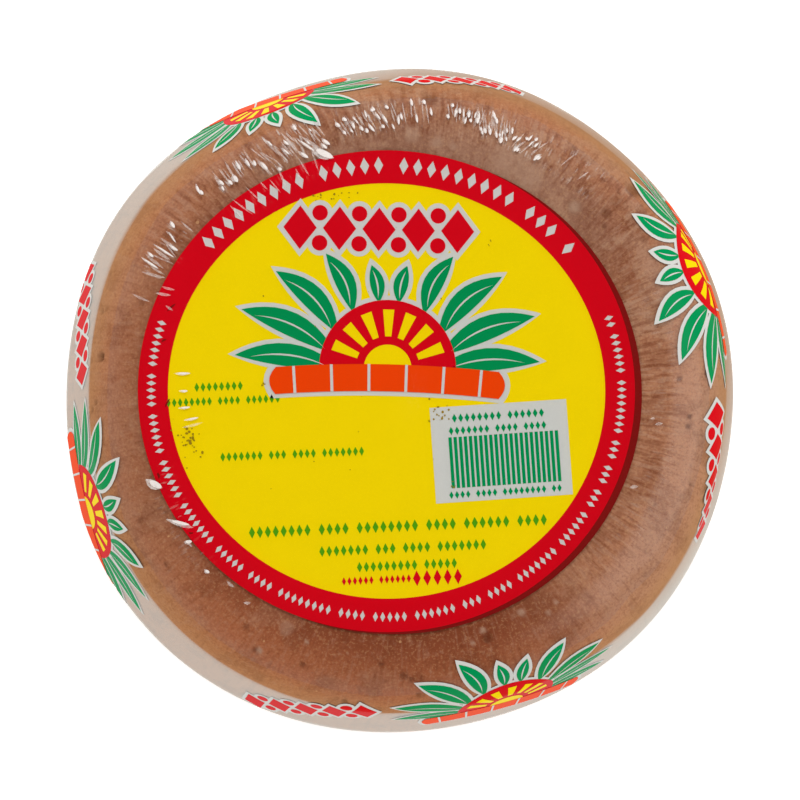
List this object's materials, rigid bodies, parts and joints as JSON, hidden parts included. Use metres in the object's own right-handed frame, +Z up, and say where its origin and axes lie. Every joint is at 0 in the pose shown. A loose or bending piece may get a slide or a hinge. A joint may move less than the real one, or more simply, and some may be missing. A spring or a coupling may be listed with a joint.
{
  "type": "wrapped round panela cane sugar pack",
  "caption": "Round cast cane-sugar blocks laid face to face in tight clear printed film, with a round red and yellow label on top and a flat underside to rest on.",
  "frame": {"origin": "middle of the flat underside on which the pack lies", "axes": "+Z up through the label, +X to the right of the label and +Y to its top, as someone at -Y sees it upright"},
  "size_m": [0.1332, 0.1322, 0.0549],
  "materials": {
    "panela_in_film": "cast brown cane sugar, fine-grained and pitted, seen through tight clear shrink film with fine gathers round the shoulder",
    "print_yellow": "yellow ink under clear film",
    "print_red": "red ink under clear film",
    "print_green": "green ink under clear film",
    "print_white": "thin greyish white ink under clear film",
    "print_orange": "orange ink under clear film"
  },
  "bodies": {
    "root": {"upper_block": "panela_in_film", "lower_block": "panela_in_film", "label_field": "print_yellow", "label_ring": "print_red"}
  },
  "joints": []
}
